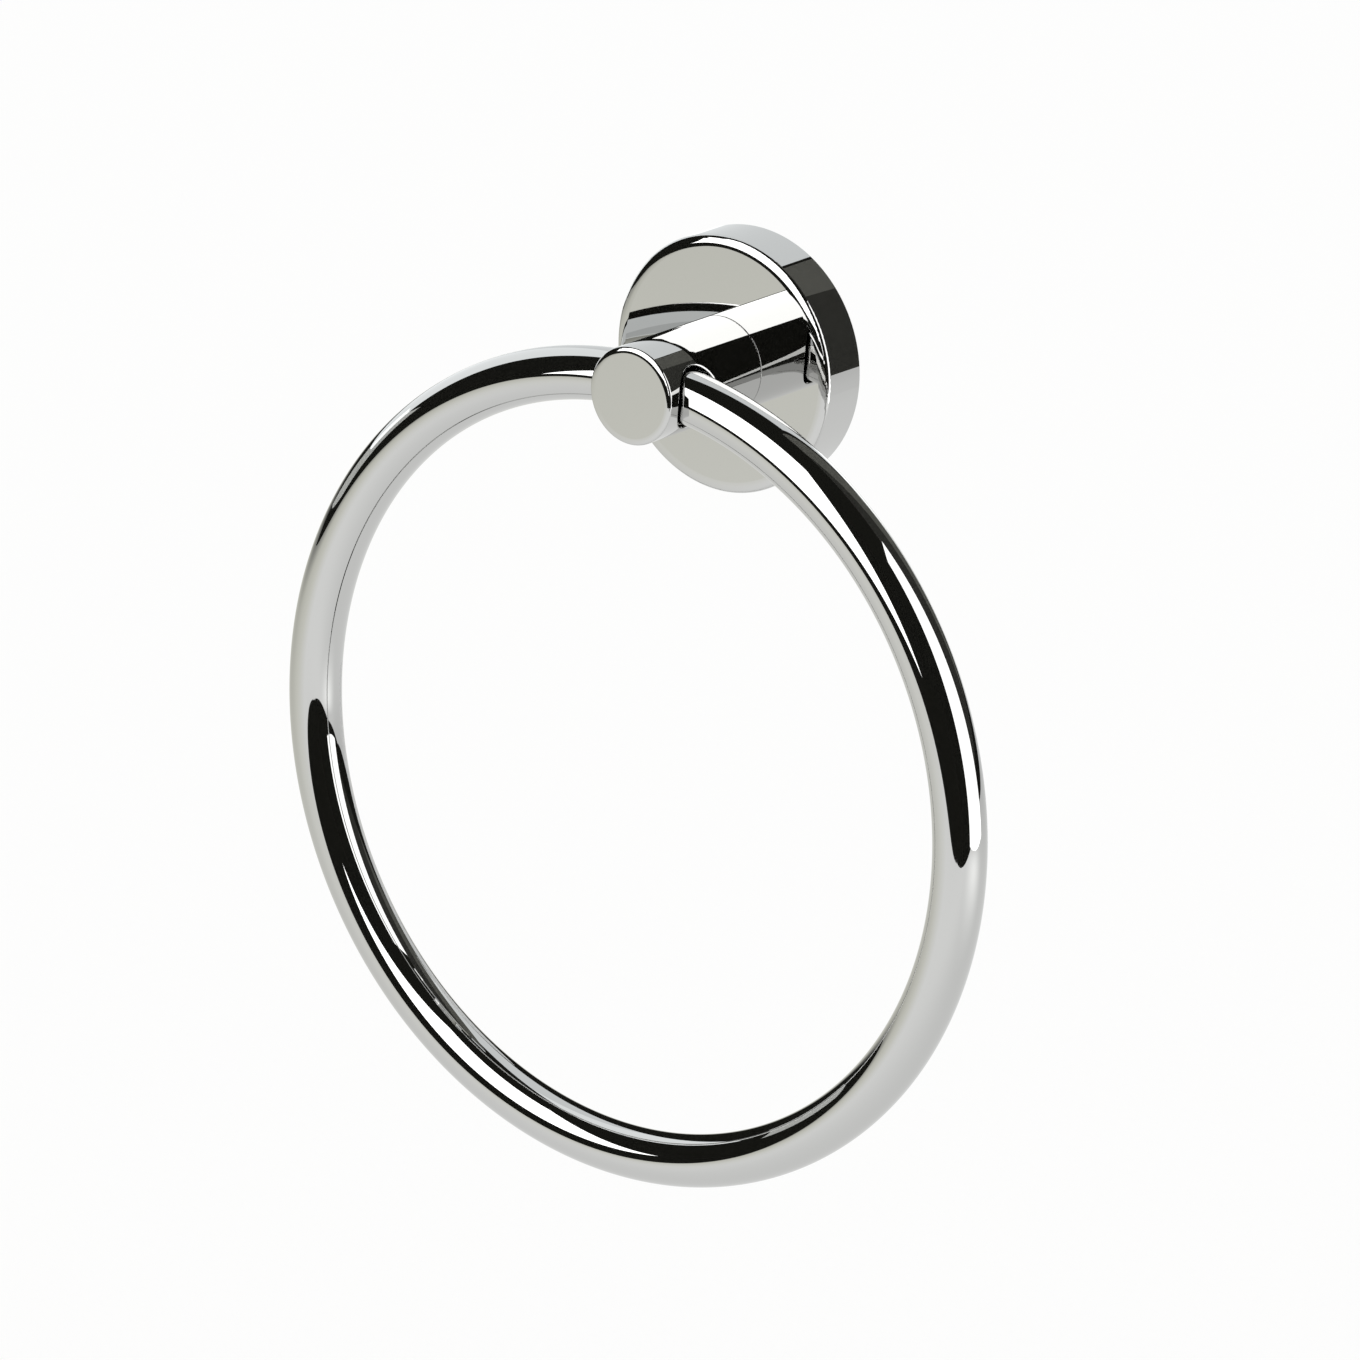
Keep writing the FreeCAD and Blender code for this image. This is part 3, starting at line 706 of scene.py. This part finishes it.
def thread_tree():
    """A tree that presses a thread into a tube and welds it to the ends it is given."""
    tree = geometry_tree("screw thread", {
        "Outer Radius": "Float",
        "Length": "Float",
        "Pitch": "Float",
        "Depth": "Float",
        "Run Out": "Float",
        "Steps Round": "Int",
        "Steps Along": "Int",
        "Finish": "Material",
    })
    given = add_node(tree, "NodeGroupInput", (-1700, 0))
    link = tree.links.new

    def math_node(operation, at, first, second=None):
        """The result of a sum on numbers and on outputs of other nodes."""
        node = add_node(tree, "ShaderNodeMath", at, operation=operation)
        for socket, value in zip(node.inputs, (first, second)):
            if isinstance(value, float):
                socket.default_value = value
            elif value is not None:
                link(value, socket)
        return node.outputs["Value"]

    tube = add_node(tree, "GeometryNodeMeshCylinder", (-1400, 300), fill_type="NONE")
    link(given.outputs["Steps Round"], tube.inputs["Vertices"])
    link(given.outputs["Steps Along"], tube.inputs["Side Segments"])
    link(given.outputs["Outer Radius"], tube.inputs["Radius"])
    link(given.outputs["Length"], tube.inputs["Depth"])

    point = add_node(tree, "GeometryNodeInputPosition", (-1700, -300))
    parts = add_node(tree, "ShaderNodeSeparateXYZ", (-1500, -300))
    link(point.outputs["Position"], parts.inputs["Vector"])
    angle = math_node("ARCTAN2", (-1300, -400), parts.outputs["Y"], parts.outputs["X"])
    turns = math_node("DIVIDE", (-1100, -400), angle, 2 * math.pi)
    climb = math_node("DIVIDE", (-1100, -200), parts.outputs["Z"], given.outputs["Pitch"])
    phase = math_node("SUBTRACT", (-900, -300), climb, turns)
    wave = math_node("PINGPONG", (-700, -300), phase, 0.5)
    groove = map_range(tree, (-500, -300), CREST_END, ROOT_START)
    link(wave, groove.inputs["Value"])
    cut = math_node("MULTIPLY", (-300, -300), groove.outputs["Result"], given.outputs["Depth"])

    half = math_node("MULTIPLY", (-1100, -600), given.outputs["Length"], 0.5)
    height = math_node("ABSOLUTE", (-1100, -800), parts.outputs["Z"])
    to_end = math_node("SUBTRACT", (-900, -700), half, height)
    ramp = math_node("DIVIDE", (-700, -700), to_end, given.outputs["Run Out"])
    left_over = math_node("SUBTRACT", (-500, -700), 1.0, ramp)
    end_cut = math_node("MULTIPLY", (-300, -700), left_over, given.outputs["Depth"])
    inward = math_node("MAXIMUM", (-100, -500), cut, end_cut)
    scale = math_node("DIVIDE", (100, -500), inward, given.outputs["Outer Radius"])
    flat = add_node(tree, "ShaderNodeCombineXYZ", (-100, -100))
    link(parts.outputs["X"], flat.inputs["X"])
    link(parts.outputs["Y"], flat.inputs["Y"])
    back = math_node("MULTIPLY", (300, -500), scale, -1.0)
    pull = add_node(tree, "ShaderNodeVectorMath", (300, -200), operation="SCALE")
    link(flat.outputs["Vector"], pull.inputs[0])
    link(back, pull.inputs["Scale"])

    place = add_node(tree, "GeometryNodeSetPosition", (500, 200))
    join = add_node(tree, "GeometryNodeJoinGeometry", (700, 100))
    weld = add_node(tree, "GeometryNodeMergeByDistance", (900, 100))
    weld.inputs["Distance"].default_value = WELD_DISTANCE
    realize = add_node(tree, "GeometryNodeRealizeInstances", (1100, 100))
    finish = add_node(tree, "GeometryNodeSetMaterial", (1300, 100))
    made = add_node(tree, "NodeGroupOutput", (1500, 100))
    link(tube.outputs["Mesh"], place.inputs["Geometry"])
    link(pull.outputs["Vector"], place.inputs["Offset"])
    link(given.outputs["Finish"], finish.inputs["Material"])
    chain(tree, place, join)
    chain(tree, given, join)
    chain(tree, join, weld, realize, finish, made)
    return tree


screw_thread = thread_tree()

# %% Turn the ends of a screw
# The countersink's depth is a share of half the socket's width, the drill's radius a share of the
# whole width, and the tip of its cone a share of the socket's depth.
COUNTERSINK_DEPTH = 0.12
DRILL_RADIUS = 0.35
DRILL_TIP = 1.12
SAME_POINT = 1e-7


def round_loop(radius, height):
    """Points on a circle about the screw's axis."""
    steps = [2 * math.pi * step / SCREW_SEGMENTS for step in range(SCREW_SEGMENTS)]
    return [(radius * math.cos(angle), radius * math.sin(angle), height) for angle in steps]


def hexagon_loop(across_flats, height):
    """As many points on a hexagon, so that it can be joined to a circle face by face."""
    loop = []
    for step in range(SCREW_SEGMENTS):
        angle = 2 * math.pi * step / SCREW_SEGMENTS
        from_flat = angle % (math.pi / 3) - math.pi / 6
        radius = across_flats / 2 / math.cos(from_flat)
        loop.append((radius * math.cos(angle), radius * math.sin(angle), height))
    return loop


def socket_loops(across_flats, mouth, depth, top):
    """A hexagon socket with a small countersink and the cone that its drill left."""
    down = math.copysign(1.0, -top)
    return [
        round_loop(mouth, top),
        hexagon_loop(across_flats, top + down * COUNTERSINK_DEPTH * across_flats / 2),
        hexagon_loop(across_flats, top + down * depth),
        round_loop(DRILL_RADIUS * across_flats, top + down * depth),
        round_loop(0.0, top + down * depth * DRILL_TIP),
    ]


def turned_mesh(name, ends):
    """One open end of a screw for each list of loops."""
    form = bmesh.new()
    for loops in ends:
        rows = [[form.verts.new(point) for point in loop] for loop in loops]
        for lower, upper in zip(rows, rows[1:]):
            for step in range(SCREW_SEGMENTS):
                after = (step + 1) % SCREW_SEGMENTS
                form.faces.new((lower[step], lower[after], upper[after], upper[step]))
    bmesh.ops.remove_doubles(form, verts=form.verts, dist=SAME_POINT)
    mesh = bpy.data.meshes.new(name)
    form.to_mesh(mesh)
    form.free()
    return mesh


# %% Put a screw together
# The depth of the thread and the length over which it runs out at each end are given in pitches.
THREAD_DEPTH = 0.61
RUN_OUT = 0.6
SHARP_ANGLE = math.radians(35)


def add_screw(name, node, ends, radius, length, pitch, place):
    """A whole screw: turned ends, thread between them, then moved to its place."""
    mesh = grown_mesh(name, turned_mesh("ends", ends), screw_thread, {
        "Outer Radius": radius,
        "Length": length,
        "Pitch": pitch,
        "Depth": THREAD_DEPTH * pitch,
        "Run Out": pitch * RUN_OUT,
        "Steps Round": SCREW_SEGMENTS,
        "Steps Along": round(length / pitch * STEPS_PER_PITCH),
        "Finish": zinc,
    })
    mesh.transform(place)
    form = bmesh.new()
    form.from_mesh(mesh)
    bmesh.ops.recalc_face_normals(form, faces=form.faces)
    open_edges = sum(not edge.is_manifold for edge in form.edges)
    form.to_mesh(mesh)
    form.free()
    mesh.shade_smooth()
    mesh.set_sharp_from_angle(angle=SHARP_ANGLE)
    screw = new_object(name, mesh)
    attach(screw, "holder")
    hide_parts(node)
    print(f"{name}: {open_edges} open edges")


# %% [markdown]
# ## The screw that holds the post
#
# Its round head presses on the washer inside the cup, and its shank points to the front, into the
# post. The head is a low cylinder with a rounded top, as such screws are pressed before their
# thread is rolled. So its outline is an arc of a few loops, which joins the socket's loops in the
# middle. Where it sits and how long it is follow from the boxes of the screw and the washer.

# %% Make the post screw
SHANK_RADIUS = 0.003
PITCH = 0.001
HEAD_ROUNDING = 0.0014
HEAD_EDGE = 0.0001
HEAD_ARC_STEPS = 8
HEAD_SOCKET = {"across_flats": 0.004, "mouth": 0.0024, "depth": 0.0018}

screw_low, screw_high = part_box("post_screw")
washer_low, washer_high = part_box("post_washer")
head_radius = screw_high.x
head_height = screw_high.y - washer_high.y
shank_length = washer_high.y - screw_low.y
half_shank = shank_length / 2
core_radius = SHANK_RADIUS - THREAD_DEPTH * PITCH

tip = [round_loop(0.0, -half_shank), round_loop(core_radius, -half_shank)]
head = [
    round_loop(core_radius, half_shank),
    round_loop(head_radius - HEAD_EDGE, half_shank),
    round_loop(head_radius, half_shank + HEAD_EDGE),
]
for step in range(HEAD_ARC_STEPS + 1):
    turn = math.pi / 2 * step / HEAD_ARC_STEPS
    head.append(round_loop(
        head_radius - HEAD_ROUNDING * (1 - math.cos(turn)),
        half_shank + head_height - HEAD_ROUNDING * (1 - math.sin(turn)),
    ))
head.extend(socket_loops(**HEAD_SOCKET, top=half_shank + head_height))
add_screw(
    "post_screw_m6", "post_screw", [tip, head], SHANK_RADIUS, shank_length, PITCH,
    Matrix.Translation((0.0, screw_low.y + half_shank, 0.0))
    @ Matrix.Rotation(-math.pi / 2, 4, "X"),
)

# %% [markdown]
# ## The set screw in the underside of the cup
#
# It has no head, so that it can vanish in the cup's wall. The socket is sunk into its lower end,
# where the key reaches it from below, and its upper end is a small blunt cone that presses on the
# bracket. Both ends are short stacks of loops, and the thread fills the length between them.

# %% Make the set screw
# The taper is how far the cone draws in, as a share of its height.
LOCK_PITCH = 0.0008
LOCK_POINT = 0.001
LOCK_TAPER = 0.9
LOCK_SOCKET = {"across_flats": 0.0025, "mouth": 0.0015, "depth": 0.0020}

lock_low, lock_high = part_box("lock_screw")
lock_radius = lock_high.x
lock_core = lock_radius - THREAD_DEPTH * LOCK_PITCH
thread_length = lock_high.z - lock_low.z - LOCK_POINT
half_thread = thread_length / 2
lock_point = [
    round_loop(lock_core, half_thread),
    round_loop(lock_core - LOCK_POINT * LOCK_TAPER, half_thread + LOCK_POINT),
    round_loop(0.0, half_thread + LOCK_POINT),
]
lock_socket = [
    round_loop(lock_core, -half_thread),
    *socket_loops(**LOCK_SOCKET, top=-half_thread),
]
add_screw(
    "set_screw_m5", "lock_screw", [lock_point, lock_socket], lock_radius, thread_length, LOCK_PITCH,
    Matrix.Translation((0.0, (lock_low.y + lock_high.y) / 2, lock_low.z + half_thread)),
)
